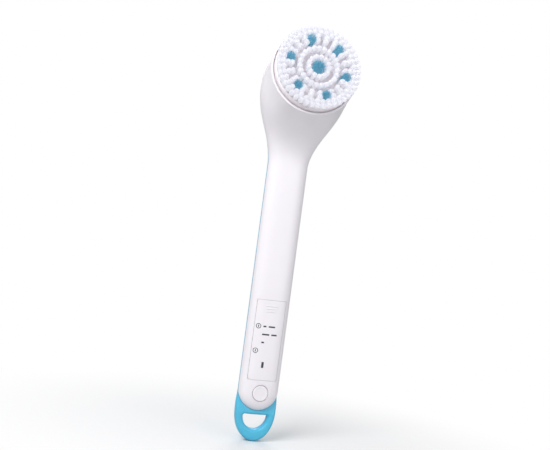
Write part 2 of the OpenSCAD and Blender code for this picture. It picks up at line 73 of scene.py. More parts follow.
# Handle and head: the same driving sizes as the frame's shells
HALF_W = 16.7
HALF_D = 10.25
SQUARENESS = 2.6
WALL = 1.9
FRONT_TIP_Z = 9.7
DOME_Z = FRONT_TIP_Z + HALF_W
DOME_DEPTH_POWER = 0.6
NECK_Z = 214
COLLAR_FORWARD = 45
COLLAR_Z = 286
COLLAR_R = 35
HEAD_TILT = math.radians(14.6)
NECK_FRONT_HANDLE = (11, 238)
NECK_REAR_HANDLE = (-10.25, 268)
COLLAR_FRONT_REACH = 18
COLLAR_REAR_REACH = 46
FAN_WIDTH_POWER = 0.75
FAN_BULGE = 0.24
PARTING_GAP = 0.1
BACK_LAND_Y = 10.0
EDGE_R = 0.15

# The collar's wall is thin from its rim back to RIM_DEPTH and full beyond another RIM_FADE
RIM_WALL = 1.5
RIM_DEPTH = 4
RIM_FADE = 8

# Fineness of the body's sheets
DOME_ANGLES = (0, 2, 5, 9, 14, 20, 27, 34, 42, 50, 58, 66, 74, 82)
HANDLE_RINGS = 34
SEAM_RINGS = 36
COLLAR_RINGS = 28
COLUMNS = 97

# Stretch of the handle that the cells' sleeves are coloured over: their band starts at 70 percent
SLEEVE_SPAN = (46, 96)

# Hanging loop
LOOP_HALF_W = 16.9
LOOP_FLARE_W = 17.5
LOOP_FLARE_Z = 17
LOOP_SHOULDER_Z = 8
LOOP_DROP = 16.2
LOOP_HOLE_HALF_W = 10.9
LOOP_HOLE_HALF_H = 6.4
LOOP_FRONT_Y = -4.4
LOOP_REAR_Y = 5.2
LOOP_TOP_Z = DOME_Z + 1
LOOP_TOP_FRONT_Y = 0.5
LOOP_TOP_REAR_Y = 2
LOOP_FLARE_ROUNDING = 6
LOOP_EDGE_R = 2.6
LOOP_EDGE_SHARE = 0.46
LOOP_INSET_SHARE = 0.49
LOOP_HOLE_SAG = 0.4
LOOP_SAG_SHARE = 0.4
LOOP_CORNER_ANGLE = 0.42
LOOP_CORNER_ROUNDING = 2.8
LOOP_TURNS = 160
LOOP_DOME_GAP = 0.22
DOME_TOOL_TOP_Z = 60

# Head, along the spin axis from the collar's plane
RECESS_FLOOR = -1.6
FRONT_WALL_BACK = -4.2
WALL_HOLE_R = 7.5
FLOOR_INSET = 0.8
FLOOR_EDGE_R = 0.4
BRUSH_R = 32.8
BRUSH_BACK = -1
BRUSH_FRONT = 4.2
BRUSH_EDGE_R = 0.9
HUB_R = 5.5
HUB_BACK = -2
SOCKET_R = 2.98
SOCKET_FLAT = 2.28
SOCKET_SPAN = (-3, 2.4)
BRISTLE_TIP = 14

# Push button and its dished hole: the top is (radius, forward of the handle's axis)
BUTTON_Z = 25
BUTTON_R = 6.4
BUTTON_GAP = 0.3
BUTTON_DISH = 1.2
BUTTON_DISH_DEPTH = 0.8
BUTTON_TOP = ((0, 9.72), (3.6, 9.8), (5.3, 10.0), (BUTTON_R, 9.9))
BUTTON_FLANGE_R = 7.3
BUTTON_FLANGE = (6, 6.9)
BUTTON_STEM_R = 1.6
BUTTON_STEM_END = 4.9
BUTTON_ROUNDING = 0.55

# Battery door, with its tongue below and its latch above: spans are forward of the handle's axis
DOOR_Z = (36, 102)
DOOR_HALF_W = 12.2
DOOR_GAP = 0.16
DOOR_CORNER_R = 1.6
TAB_HALF_W = 4
TONGUE_Z = (DOOR_Z[0] - 2.5, DOOR_Z[0] + 3)
TONGUE_SPAN = (6.9, 8.6)
TONGUE_ROUNDING = 1
LATCH_Z = (DOOR_Z[1] - 2, DOOR_Z[1] - 0.8)
LATCH_SPAN = (4, 9)
LATCH_ROUNDING = 0.3

# Thumb ridges: z and width of each, then what they share; the span is over the handle's surface
THUMB_RIDGES = ((97.2, 11), (94.9, 9.5), (92.6, 8))
RIDGE_HEIGHT = 0.9
RIDGE_SPAN = (-0.3, 0.32)
RIDGE_ROUNDING = 0.25

# Print: rings with a tick in them, dashes (x, z, width) and one bar
PRINT_SPAN = (-0.05, 0.03)
PRINT_RING_X = -8.9
PRINT_RING_HEIGHTS = (80.2, 60)
PRINT_RING_R = (2.1, 1.6)
PRINT_TICK = (0.7, 1.8)
PRINT_DASHES = ((-3.7, 80.2, 2.4), (-2.2, 73.6, 6), (-3.9, 67, 2.2), (2.2, 80.2, 5.4),
                (4.9, 73.6, 4.6))
PRINT_DASH_HEIGHT = 1.2
PRINT_BAR_PLACE = (-1.6, 48.6)
PRINT_BAR = (1.9, 4.8)

# Shell screws: x, z and the depth of the seat under the head
SHELL_SCREWS = ((0, 112, 3.4), (0, 206, 3.4), (-20, 262, 2.4), (20, 262, 2.4))
BOSS_R = 4.2
BOSS_SINK = 0.4
SEAT_WALL = 1.2
COUNTERBORE_R = 2.8
SHANK_HOLE_R = 1.2
SHANK_HOLE_END = 2

# Cuts in the front run from the hollow out past the surface; cuts in the back start far behind
CUT_SPAN = (4, 20)
FAR_BEHIND = 40

# How often a metal's streaks change per metre on x, y and z
STREAKS_ACROSS = (60, 60, 1200)
STREAKS_ALONG = (900, 900, 60)

# Bristle field
CLUSTER_RING_R = 22.4
CLUSTER_COUNT = 6
CLUSTER_PHASE = 108
WHITE_ROWS = ((8, 13), (15, 23), (27.4, 40), (30.6, 44))
BETWEEN_ROWS = ((20.9, 3), (24.2, 3))
BETWEEN_SPAN = 0.58
TUFT_TIP_GROWTH = 0.15
BRISTLE_LEAN = 1.5
FILAMENT_TAPER = 0.8
ROOT_SINK = 0.4
BEND_SHARE = 0.12
TURN_JITTER = 0.2
HEIGHT_JITTER = 0.35
TIP_JITTER = 0.1
BEND_JITTER = 0.06
GOLDEN_ANGLE = math.pi * (3 - math.sqrt(5))
WHITE_SEED = 7
BLUE_SEED = 11

# Bundle of filaments: radius at its root and at its tips, number of filaments, their radius, and
# how much lower the outer ones end
Tuft = namedtuple("Tuft", "root_r tip_r count thick crown")
WHITE_TUFT = Tuft(1.2, 2.1, 66, 0.22, 1.9)
CENTRE_CLUSTER = Tuft(3.8, 5.2, 170, 0.2, 1.6)
OUTER_CLUSTER = Tuft(2.7, 3.6, 96, 0.2, 0.9)

# Studio: lamps as name, place, target, size and power in watts
LAMPS = (
    ("key", (-520, -480, 640), (0, 0, 190), 520, 5.0),
    ("fill", (420, -700, 230), (0, 0, 170), 600, 1.2),
    ("back", (150, 620, 520), (0, 0, 170), 500, 1.5),
)
WORLD_LIGHT = 0.50
FLOOR_REACH = 4000
FLOOR_FADE = (50, 300)

# Camera: it looks level at CAMERA_AIM_Z from CAMERA_AWAY, and is then slid (right, up)
CAMERA_AZIMUTH = math.radians(-14.2)
CAMERA_ROLL = math.radians(7.56)
CAMERA_AIM_Z = 166.6
CAMERA_AWAY = 750
CAMERA_SLIDE = (-4.233, -2.49)
CAMERA_LENS = 59.15


# ---------- curves ----------

def signed_power(value, power):
    return math.copysign(abs(value) ** power, value)


def smooth(t):
    return t * t * (3 - 2 * t)


def spread(low, high, count):
    """count evenly spaced values from low to high."""
    return [low + (high - low) * i / (count - 1) for i in range(count)]


def bezier(p, t):
    a, b, c, d = (Vector(q) for q in p)
    return (1 - t) ** 3 * a + 3 * t * (1 - t) ** 2 * b + 3 * t * t * (1 - t) * c + t**3 * d


def rounded_path(points, reach, steps=5, closed=False):
    """The points joined by straight lines, with each corner rounded over reach to either side."""
    points = [Vector(p) for p in points]
    count = len(points)
    corners = range(count) if closed else range(1, count - 1)
    path = [] if closed else [points[0]]
    for i in corners:
        here, before, after = points[i], points[i - 1], points[(i + 1) % count]
        into = here + (before - here).normalized() * min(reach, (before - here).length / 2)
        out = here + (after - here).normalized() * min(reach, (after - here).length / 2)
        for t in spread(0, 1, steps + 1):
            path.append((1 - t) ** 2 * into + 2 * t * (1 - t) * here + t * t * out)
    return path if closed else path + [points[-1]]


# ---------- meshes ----------

def grid_faces(rows, cols, wrap_cols=False, wrap_rows=False):
    faces = []
    for i in range(rows if wrap_rows else rows - 1):
        for j in range(cols if wrap_cols else cols - 1):
            k, m = (j + 1) % cols, (i + 1) % rows
            faces.append((i * cols + j, i * cols + k, m * cols + k, m * cols + j))
    return faces


def make(name, points, faces, place=Matrix.Identity(4)):
    """Mesh object from points in millimetres, its shared points merged and its faces outwards."""
    mesh = bpy.data.meshes.new(name)
    mesh.from_pydata([place @ Vector(p) * MM for p in points], [], faces)
    bm = bmesh.new()
    bm.from_mesh(mesh)
    bmesh.ops.remove_doubles(bm, verts=bm.verts, dist=1e-6)
    bmesh.ops.recalc_face_normals(bm, faces=bm.faces)
    bm.to_mesh(mesh)
    bm.free()
    obj = bpy.data.objects.new(name, mesh)
    bpy.context.scene.collection.objects.link(obj)
    return obj


def sheet(name, rows, centre_of_row):
    """Open sheet through rows of points, its faces turned away from the middle of each row."""
    cols = len(rows[0])
    obj = make(name, [p for row in rows for p in row], grid_faces(len(rows), cols))
    middle = len(rows) // 2
    face = min(obj.data.polygons,
               key=lambda f: (f.center / MM - Vector(rows[middle][cols // 2])).length)
    if face.normal.dot(face.center / MM - Vector(centre_of_row(middle))) < 0:
        obj.data.flip_normals()
    return obj


def lathe(name, profile, place, segments=128, closed_profile=False):
    """Turned piece: profile is a list of (radius, height) along the local z axis of place."""
    points = [(r * math.cos(a), r * math.sin(a), z)
              for r, z in profile
              for a in (2 * math.pi * j / segments for j in range(segments))]
    return make(name, points, grid_faces(len(profile), segments, True, closed_profile), place)


def prism(name, outline, low, high, place):
    """Straight prism over a closed outline between two heights of place's local z axis."""
    count = len(outline)
    points = [(p[0], p[1], z) for z in (low, high) for p in outline]
    caps = [tuple(range(count)), tuple(range(count, 2 * count))]
    return make(name, points, grid_faces(2, count, True) + caps, place)


def bake(obj):
    """Applies every modifier of obj."""
    bpy.context.view_layer.update()
    evaluated = obj.evaluated_get(bpy.context.evaluated_depsgraph_get())
    mesh = bpy.data.meshes.new_from_object(evaluated)
    obj.modifiers.clear()
    old, obj.data = obj.data, mesh
    mesh.name = old.name
    bpy.data.meshes.remove(old)


def combine(obj, operation, *tools):
    """Boolean of obj with each tool in turn; the tools are used up."""
    for tool in tools:
        step = obj.modifiers.new(operation, "BOOLEAN")
        step.operation = operation
        step.solver = "EXACT"
        step.object = tool
        bake(obj)
        bpy.data.objects.remove(tool)
    return obj


def thicken(obj, thickness, group=None):
    """Gives a sheet its thickness on the inside and rounds the new edges."""
    solid = obj.modifiers.new("wall", "SOLIDIFY")
    solid.thickness = thickness * MM
    solid.offset = -1
    solid.use_even_offset = True
    if group:
        solid.vertex_group = group
    round_edges(obj, EDGE_R)
    bake(obj)


def round_edges(obj, radius):
    """Adds a bevel of radius on the edges sharper than 50 degrees."""
    edge = obj.modifiers.new("edge", "BEVEL")
    edge.width = radius * MM
    edge.segments = 3
    edge.limit_method = "ANGLE"
    edge.angle_limit = math.radians(50)


def shade(obj):
    """Smooth shading that keeps edges sharper than 32 degrees."""
    for face in obj.data.polygons:
        face.use_smooth = True
    obj.data.set_sharp_from_angle(angle=math.radians(32))


def finish_piece(obj, material, body, slot, *replaced):
    """Gives obj its look and its body, and hides the CAD nodes it stands in for; slot is not used.
    """
    shade(obj)
    obj.data.materials.clear()
    obj.data.materials.append(material)
    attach(obj, body)
    if replaced:
        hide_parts(*replaced)


# ---------- materials ----------

class Look:
    """Node-based material under construction; its texture coordinates are metres."""

    def __init__(self, name):
        self.material = bpy.data.materials.new(name)
        self.material.use_nodes = True
        self.tree = self.material.node_tree
        self.shader = self.tree.nodes["Principled BSDF"]
        self.where = self.tree.nodes.new("ShaderNodeTexCoord").outputs["Object"]

    def node(self, kind, inputs=(), **settings):
        """New node whose inputs are linked to sockets or set to values."""
        node = self.tree.nodes.new(kind)
        for key, value in settings.items():
            setattr(node, key, value)
        for key, value in dict(inputs).items():
            if isinstance(value, bpy.types.NodeSocket):
                self.tree.links.new(value, node.inputs[key])
            else:
                node.inputs[key].default_value = value
        return node

    def set(self, **values):
        """Links or sets inputs of the surface shader, named with _ for each space."""
        for key, value in values.items():
            socket = self.shader.inputs[key.replace("_", " ")]
            if isinstance(value, bpy.types.NodeSocket):
                self.tree.links.new(value, socket)
            else:
                socket.default_value = value

    def surface(self, weight, other):
        """Mixes the surface shader with another by weight and makes that the material's look."""
        mixed = self.node("ShaderNodeMixShader",
                          {0: weight, 1: self.shader.outputs[0], 2: other}).outputs[0]
        output = self.tree.nodes["Material Output"]
        self.tree.links.new(mixed, output.inputs["Surface"])

    def stretched(self, scale):
        return self.node("ShaderNodeVectorMath", {0: self.where, 1: scale},
                         operation="MULTIPLY").outputs[0]

    def noise(self, size_mm, detail, where=None):
        return self.node("ShaderNodeTexNoise",
                         {"Vector": where or self.where, "Scale": 1 / (size_mm * MM),
                          "Detail": detail}).outputs["Fac"]

    def ramp(self, factor, low, high, start=0.0, end=1.0):
        ramp = self.node("ShaderNodeValToRGB", {"Fac": factor})
        first, last = ramp.color_ramp.elements
        first.color, last.color = tuple(low) + (1,), tuple(high) + (1,)
        first.position, last.position = start, end
        return ramp.outputs["Color"]

    def between(self, factor, low, high):
        return self.node("ShaderNodeMapRange",
                         {"Value": factor, "To Min": low, "To Max": high}).outputs["Result"]

    def bump(self, height, depth_mm, strength=1.0):
        return self.node("ShaderNodeBump", {"Height": height, "Distance": depth_mm * MM,
                                            "Strength": strength}).outputs["Normal"]


def linear(red, green, blue):
    """Linear colour from 8-bit display values above 10, where the display curve is a power."""
    return tuple(((c / 255 + 0.055) / 1.055) ** 2.4 for c in (red, green, blue))


def tinted(colour, factor):
    return tuple(min(1.0, c * factor) for c in colour)


def moulded(name, colour, roughness, grain_mm, grain_depth, variation, glow=0.0):
    """Moulded plastic or rubber: slow tone drift, fine spark-eroded grain, uneven gloss."""
    look = Look(name)
    drift = look.noise(24, detail=2)
    grain = look.noise(grain_mm, detail=4)
    darker, lighter = tinted(colour, 1 - variation), tinted(colour, 1 + variation)
    look.set(Base_Color=look.ramp(drift, darker, lighter, start=0.3, end=0.7),
             Roughness=look.between(grain, roughness - 0.05, roughness + 0.07),
             Normal=look.bump(grain, grain_depth))
    if glow:
        look.set(Subsurface_Weight=glow, Subsurface_Scale=2 * MM,
                 Subsurface_Radius=(1.0, 0.8, 0.8))
    return look.material


def brushed(name, colour, roughness, streaks):
    """Metal with fine streaks across or along the handle."""
    look = Look(name)
    lines = look.noise(1000, detail=3, where=look.stretched(streaks))
    darker, lighter = tinted(colour, 0.82), tinted(colour, 1.1)
    look.set(Base_Color=look.ramp(lines, darker, lighter, start=0.3, end=0.7),
             Metallic=1.0,
             Roughness=look.between(lines, roughness - 0.08, roughness + 0.12),
             Normal=look.bump(lines, 0.01, strength=0.4))
    return look.material


def wound(name):
    """Enamelled copper wire: close turns across the armature."""
    look = Look(name)
    turns = look.node("ShaderNodeTexWave", {"Vector": look.where, "Scale": 420.0,
                                            "Distortion": 1.5, "Detail": 2.0},
                      bands_direction="Z").outputs["Fac"]
    # Painted shade: the copper is darker where the wave is low, in the grooves between the turns,
    # since the same wave makes the bump.
    look.set(Base_Color=look.ramp(turns, linear(105, 52, 26), linear(214, 128, 78)),
             Metallic=0.85, Roughness=0.34, Normal=look.bump(turns, 0.12, strength=0.8))
    return look.material


def circuit(name):
    """Solder mask with darker gaps between broad copper areas."""
    look = Look(name)
    cells = look.node("ShaderNodeTexVoronoi", {"Vector": look.where, "Scale": 420.0},
                      feature="DISTANCE_TO_EDGE", distance="MANHATTAN").outputs["Distance"]
    gap, copper = linear(14, 66, 38), linear(30, 112, 66)
    look.set(Base_Color=look.ramp(cells, gap, copper, start=0.02, end=0.12),
             Roughness=0.28, Coat_Weight=0.5, Normal=look.bump(cells, 0.03, strength=0.5))
    return look.material


def cell_sleeve(name):
    """Plain shrink sleeve: dark, with a copper-coloured upper band and no print."""
    look = Look(name)
    height = look.node("ShaderNodeSeparateXYZ", {"Vector": look.where}).outputs["Z"]
    low, high = SLEEVE_SPAN
    share = look.node("ShaderNodeMapRange", {"Value": height, "From Min": low * MM,
                                             "From Max": high * MM}).outputs["Result"]
    ripple = look.noise(3.5, detail=3)
    body, band = linear(58, 64, 74), linear(196, 148, 78)
    look.set(Base_Color=look.ramp(share, body, band, start=0.70, end=0.72),
             Metallic=0.65, Roughness=look.between(ripple, 0.22, 0.36),
             Coat_Weight=0.6, Normal=look.bump(ripple, 0.05, strength=0.4))
    return look.material


def filament(name, low, high, through, glow):
    """Nylon filaments, lit through from behind; glow stands for light scattered among them."""
    look = Look(name)
    # Painted highlights and shade: noise mixes a darker and a lighter tone along the filaments,
    # standing in for the light and shade among them.
    painted_highlight_and_shade = look.noise(0.6, detail=2)
    colour = look.ramp(painted_highlight_and_shade, low, high, start=0.25, end=0.65)
    look.set(Base_Color=colour, Roughness=0.38, Specular_IOR_Level=0.35,
             Emission_Color=colour, Emission_Strength=glow)
    lit = look.node("ShaderNodeBsdfTranslucent", {"Color": colour}).outputs[0]
    look.surface(through, lit)
    return look.material


# ---------- body rings ----------

class Ring:
    """One ring of the body: front and rear are the (forward, z) of its two middle points."""

    def __init__(self, front, rear, width, exponent):
        front, rear = Vector(front), Vector(rear)
        self.centre = (front + rear) / 2
        self.reach = (front - rear) / 2
        self.width = width
        self.power = 2 / exponent

    def point(self, angle):
        side = signed_power(math.cos(angle), self.power)
        rise = signed_power(math.sin(angle), self.power)
        forward = self.centre.x + self.reach.x * rise
        return (self.width * side, -forward, self.centre.y + self.reach.y * rise)

    def angle_at(self, y):
        """Angle at which the ring's right side crosses depth y; -90 degrees if all is in front."""
        if self.reach.x < 1e-6:
            return 0.0
        rise = (-y - self.centre.x) / self.reach.x
        return -math.pi / 2 if rise <= -1 else math.asin(signed_power(rise, 1 / self.power))


def dome_ring(angle, grow=0.0):
    depth = (HALF_D + grow) * math.sin(angle) ** DOME_DEPTH_POWER
    z = DOME_Z - (HALF_W + grow) * math.cos(angle)
    return Ring((depth, z), (-depth, z), (HALF_W + grow) * math.sin(angle), SQUARENESS)


def handle_ring(z, grow=0.0):
    depth = HALF_D + grow
    return Ring((depth, z), (-depth, z), HALF_W + grow, SQUARENESS)


def fan_ring(u):
    """Ring of the neck and head: u runs from 0 at the handle to 1 at the collar."""
    normal = Vector((math.cos(HEAD_TILT), math.sin(HEAD_TILT)))
    across = Vector((-normal.y, normal.x))
    collar = Vector((COLLAR_FORWARD, COLLAR_Z))
    front_end = collar - COLLAR_R * across
    rear_end = collar + COLLAR_R * across
    front = bezier(((HALF_D, NECK_Z), NECK_FRONT_HANDLE,
                    front_end - COLLAR_FRONT_REACH * normal, front_end), u)
    rear = bezier(((-HALF_D, NECK_Z), NECK_REAR_HANDLE,
                   rear_end - COLLAR_REAR_REACH * normal, rear_end), u)
    opening = smooth(u**FAN_WIDTH_POWER) + FAN_BULGE * math.sin(math.pi * u) ** 2
    width = HALF_W + (COLLAR_R - HALF_W) * opening
    return Ring(front, rear, width, SQUARENESS + (2 - SQUARENESS) * u)


def lower_rings(grow=0.0):
    """Rings of the dome and of the straight handle, up to the neck."""
    dome = [dome_ring(math.radians(a), grow) for a in DOME_ANGLES]
    return dome + [handle_ring(z, grow) for z in spread(DOME_Z, NECK_Z, HANDLE_RINGS)[:-1]]


def fan_end():
    """Share of the fan at which the rear shell has run out behind the parting plane."""
    low, high = 0.0, 1.0
    for _ in range(40):
        middle = (low + high) / 2
        ring = fan_ring(middle)
        if ring.centre.x - ring.reach.x < 0:
            low = middle
        else:
            high = middle
    return low


def seam_shares():
    """Shares of the fan that both shells have, closer together where the rear shell runs out."""
    end = fan_end()
    return [end * (1 - (1 - t) ** 2) for t in spread(0, 1, SEAM_RINGS)]


def front_rows():
    """Rings of the front shell, and their points from the right seam round the front."""
    shares = seam_shares()
    end = shares[-1]
    shares += [end + (1 - end) * t * t for t in spread(0, 1, COLLAR_RINGS)[1:]]
    rings = lower_rings() + [fan_ring(u) for u in shares]
    rows = []
    for ring in rings:
        start = ring.angle_at(-PARTING_GAP / 2)
        rows.append([ring.point(a) for a in spread(start, math.pi - start, COLUMNS)])
    return rings, rows


def rear_rows():
    """Rings of the rear shell, and their points from the left seam round the back's flat land."""
    rings = lower_rings() + [fan_ring(u) for u in seam_shares()]
    rows = []
    for ring in rings:
        start = ring.angle_at(PARTING_GAP / 2)
        row = [ring.point(a) for a in spread(math.pi - start, 2 * math.pi + start, COLUMNS)]
        rows.append([(x, min(y, BACK_LAND_Y), z) for x, y, z in row])
    return rings, rows


def body_sheet(name, rings, rows):
    return sheet(name, rows, lambda i: (0, -rings[i].centre.x, rings[i].centre.y))


# ---------- shells ----------

def y_axis(x, z):
    """Place whose local z axis points to the front through (x, z)."""
    return Matrix(((1, 0, 0, x), (0, 0, -1, 0), (0, 1, 0, z), (0, 0, 0, 1)))


def spin_place(frame):
    """Place of the spin axis: local z points out of the brush and local y up the collar."""
    joint = next(j for j in frame["joints"] if j["name"] == "brush_spin")
    out = Vector(joint["axis"])
    across = Vector((1, 0, 0))
    up = out.cross(across)
    place = Matrix((across, up, out)).transposed().to_4x4()
    place.translation = Vector(joint["pos_m"]) / MM
    return place


def rounded_panel(half, low, high, rounding):
    """Outline 2 half wide, from low to high, with rounded corners."""
    corners = [(-half, low, 0), (half, low, 0), (half, high, 0), (-half, high, 0)]
    return rounded_path(corners, rounding, closed=True)


def door_opening():
    """Tool for the opening that the battery door closes."""
    outline = rounded_panel(DOOR_HALF_W + DOOR_GAP, DOOR_Z[0] - DOOR_GAP, DOOR_Z[1] + DOOR_GAP,
                            DOOR_CORNER_R + DOOR_GAP)
    return prism("opening", outline, *CUT_SPAN, y_axis(0, 0))


def button_hole():
    """Tool for the button's hole and the dish round it."""
    inside, outside = CUT_SPAN
    hole_r, dish_r = BUTTON_R + BUTTON_GAP, BUTTON_R + BUTTON_DISH
    profile = [(0, inside), (hole_r, inside), (hole_r, HALF_D - BUTTON_DISH_DEPTH),
               (dish_r, HALF_D + 0.1), (dish_r, outside), (0, outside)]
    return lathe("button_hole", profile, y_axis(0, BUTTON_Z))


def recess_floor(spin):
    """Wall across the collar behind the brush, with the hole for the spindle."""
    rim_r = COLLAR_R - FLOOR_INSET
    corners = [(WALL_HOLE_R, FRONT_WALL_BACK, 0), (WALL_HOLE_R, RECESS_FLOOR, 0),
               (rim_r, RECESS_FLOOR, 0), (rim_r, FRONT_WALL_BACK, 0)]
    profile = [(p.x, p.y) for p in rounded_path(corners, FLOOR_EDGE_R, closed=True)]
    return lathe("floor", profile, spin, closed_profile=True)


def thin_towards_rim(obj, group, spin):
    """Weights each vertex by its wall thickness as a share of WALL."""
    collar = spin.inverted()
    for vertex in obj.data.vertices:
        depth = -(collar @ (vertex.co / MM)).z
        share = min(1.0, max(0.0, (depth - RIM_DEPTH) / RIM_FADE))
        wall = RIM_WALL + (WALL - RIM_WALL) * smooth(share)
        group.add([vertex.index], wall / WALL, "REPLACE")


def build_front_shell(spin, material):
    rings, rows = front_rows()
    obj = body_sheet("front_shell_skin", rings, rows)
    thin_towards_rim(obj, obj.vertex_groups.new(name="wall"), spin)
    thicken(obj, WALL, "wall")
    combine(obj, "UNION", recess_floor(spin))
    combine(obj, "DIFFERENCE", button_hole(), door_opening())
    finish_piece(obj, material, "housing", "white_shell", "front_shell")


def polar_radius(outline, angle):
    """Distance from the origin to a closed outline along angle."""
    way = Vector((math.cos(angle), math.sin(angle)))
    best = 0.0
    for a, b in zip(outline, outline[1:] + outline[:1]):
        a, b = Vector(a[:2]), Vector(b[:2])
        edge = b - a
        cross = way.x * edge.y - way.y * edge.x
        if abs(cross) < 1e-9:
            continue
        distance = (a.x * edge.y - a.y * edge.x) / cross
        share = (a.x * way.y - a.y * way.x) / cross
        if distance > 0 and -1e-9 <= share <= 1 + 1e-9:
            best = max(best, distance)
    return best


def loop_outer():
    """Outline of the loop: half an ellipse that flares, then tapers into the handle's sides."""
    drop = LOOP_DROP + LOOP_SHOULDER_Z
    lower = [(LOOP_HALF_W * math.cos(a), LOOP_SHOULDER_Z + drop * math.sin(a))
             for a in spread(math.pi, 2 * math.pi, 49)]
    upper = rounded_path([(LOOP_HALF_W, LOOP_SHOULDER_Z, 0), (LOOP_FLARE_W, LOOP_FLARE_Z, 0),
                          (HALF_W, LOOP_TOP_Z, 0)], LOOP_FLARE_ROUNDING)
    right = [(p.x, p.y) for p in upper[1:]]
    return lower + right + [(-x, z) for x, z in reversed(right)]


def loop_hole():
    """D-shaped hole with rounded corners, whose top edge sags a little towards its middle."""
    width, height = LOOP_HOLE_HALF_W, LOOP_HOLE_HALF_H
    curve = [(width * math.cos(a), height * (1 + 2 * math.sin(a)), 0)
             for a in spread(math.pi + LOOP_CORNER_ANGLE, 2 * math.pi - LOOP_CORNER_ANGLE, 21)]
    sag_x, sag_z = LOOP_SAG_SHARE * width, height - LOOP_HOLE_SAG
    top = [(width, height, 0), (sag_x, sag_z, 0), (-sag_x, sag_z, 0), (-width, height, 0)]
    path = rounded_path(curve + top, LOOP_CORNER_ROUNDING, steps=6, closed=True)
    return [(p.x, p.y) for p in path]


def loop_section(outer, inner):
    """Points round the loop's section along one ray: (radius, is rear, inset from that face)."""
    r = min(LOOP_EDGE_R, LOOP_EDGE_SHARE * (outer - inner))
    arc = spread(0, math.pi / 2, 7)
    out_front = [(outer - r + r * math.cos(a), False, r - r * math.sin(a)) for a in arc]
    in_front = [(inner + r - r * math.sin(a), False, r - r * math.cos(a)) for a in arc]
    in_rear = [(inner + r - r * math.cos(a), True, r - r * math.sin(a)) for a in arc]
    out_rear = [(outer - r + r * math.sin(a), True, r - r * math.cos(a)) for a in arc]
    return out_front + in_front + in_rear + out_rear


def build_loop():
    """Hanging loop: its rounded section, carried round the hole."""
    outer, inner = loop_outer(), loop_hole()
    points = []
    for angle in (2 * math.pi * i / LOOP_TURNS for i in range(LOOP_TURNS)):
        section = loop_section(polar_radius(outer, angle), polar_radius(inner, angle))
        for radius, rear, inset in section:
            x, z = radius * math.cos(angle), radius * math.sin(angle)
            rise = max(0.0, (z - LOOP_SHOULDER_Z) / (LOOP_TOP_Z - LOOP_SHOULDER_Z))
            front_y = LOOP_FRONT_Y + (LOOP_TOP_FRONT_Y - LOOP_FRONT_Y) * rise
            rear_y = LOOP_REAR_Y + (LOOP_TOP_REAR_Y - LOOP_REAR_Y) * rise
            inset = min(inset, LOOP_INSET_SHARE * (rear_y - front_y))
            points.append((x, rear_y - inset if rear else front_y + inset, z))
    return make("loop", points, grid_faces(LOOP_TURNS, len(section), True, True))


def front_dome_tool():
    """Lower end of the front shell, grown by the gap round it, as a closed solid."""
    cols = 49
    rings = [r for r in lower_rings(LOOP_DOME_GAP) if r.centre.y < DOME_TOOL_TOP_Z]
    rows = [[r.point(a) for a in spread(0, math.pi, cols)] for r in rings]
    rows = [[(x, min(y, 0.0) if 0 < j < cols - 1 else 0.05, z)
             for j, (x, y, z) in enumerate(row)] for row in rows]
    top = tuple(range((len(rows) - 1) * cols, len(rows) * cols))
    return make("dome_tool", [p for row in rows for p in row],
                grid_faces(len(rows), cols, True) + [top])


def lowest_skin(obj, x, z):
    """Least depth of obj's skin round a screw boss."""
    rim = [(BOSS_R * math.cos(a), BOSS_R * math.sin(a)) for a in spread(0, 2 * math.pi, 13)]
    hits = [obj.ray_cast(Vector((x + dx, FAR_BEHIND, z + dz)) * MM, Vector((0, -1, 0)))
            for dx, dz in rim]
    return min(place.y / MM for hit, place, _, _ in hits if hit)


def screw_boss(x, z, seat, top):
    """Boss from the wall under the screw's head back to the depth of top."""
    front = SEAT_WALL - seat
    profile = [(0, -top), (BOSS_R, -top), (BOSS_R, front), (0, front)]
    return lathe("boss", profile, y_axis(x, z), 48)


def screw_bore(x, z, seat):
    """Tool for a screw's counterbore, open to the back, and the hole for its shank."""
    profile = [(0, -FAR_BEHIND), (COUNTERBORE_R, -FAR_BEHIND), (COUNTERBORE_R, -seat),
               (SHANK_HOLE_R, -seat), (SHANK_HOLE_R, SHANK_HOLE_END), (0, SHANK_HOLE_END)]
    return lathe("bore", profile, y_axis(x, z), 48)


def build_rear_shell(material):
    rings, rows = rear_rows()
    obj = body_sheet("rear_shell_skin", rings, rows)
    bpy.context.view_layer.update()
    tops = [lowest_skin(obj, x, z) - BOSS_SINK for x, z, _ in SHELL_SCREWS]
    thicken(obj, WALL)
    loop = combine(build_loop(), "DIFFERENCE", front_dome_tool())
    combine(obj, "UNION", loop)
    for (x, z, seat), top in zip(SHELL_SCREWS, tops):
        combine(obj, "UNION", screw_boss(x, z, seat, top))
    for x, z, seat in SHELL_SCREWS:
        combine(obj, "DIFFERENCE", screw_bore(x, z, seat))
    finish_piece(obj, material, "housing", "blue_shell", "rear_shell")


# ---------- door, print and button ----------

def handle_y(x):
    """Depth of the handle's front surface at x."""
    return -HALF_D * (1 - abs(x / HALF_W) ** SQUARENESS) ** (1 / SQUARENESS)


def on_handle(x, z, lift):
    """Point on the handle's front, lifted off along the surface's normal."""
    step = 0.01
    slope = (handle_y(x + step) - handle_y(x - step)) / (2 * step)
    normal = Vector((slope, -1, 0)).normalized()
    return Vector((x, handle_y(x), z)) + lift * normal


def door_rows():
    """Heights and points of the door's face, which follows the handle and has round corners."""
    low, high = DOOR_Z
    r = DOOR_CORNER_R
    corner = [r - r * math.cos(a) for a in spread(0, math.pi / 2, 7)]
    heights = [low + c for c in corner] + spread(low + r, high - r, 24)[1:-1]
    heights += [high - c for c in reversed(corner)]
    rows = []
    for z in heights:
        inward = max(0.0, r - min(z - low, high - z))
        half = DOOR_HALF_W - r + math.sqrt(max(0.0, r * r - inward * inward))
        rows.append([on_handle(x, z, 0) for x in spread(-half, half, 41)])
    return heights, rows


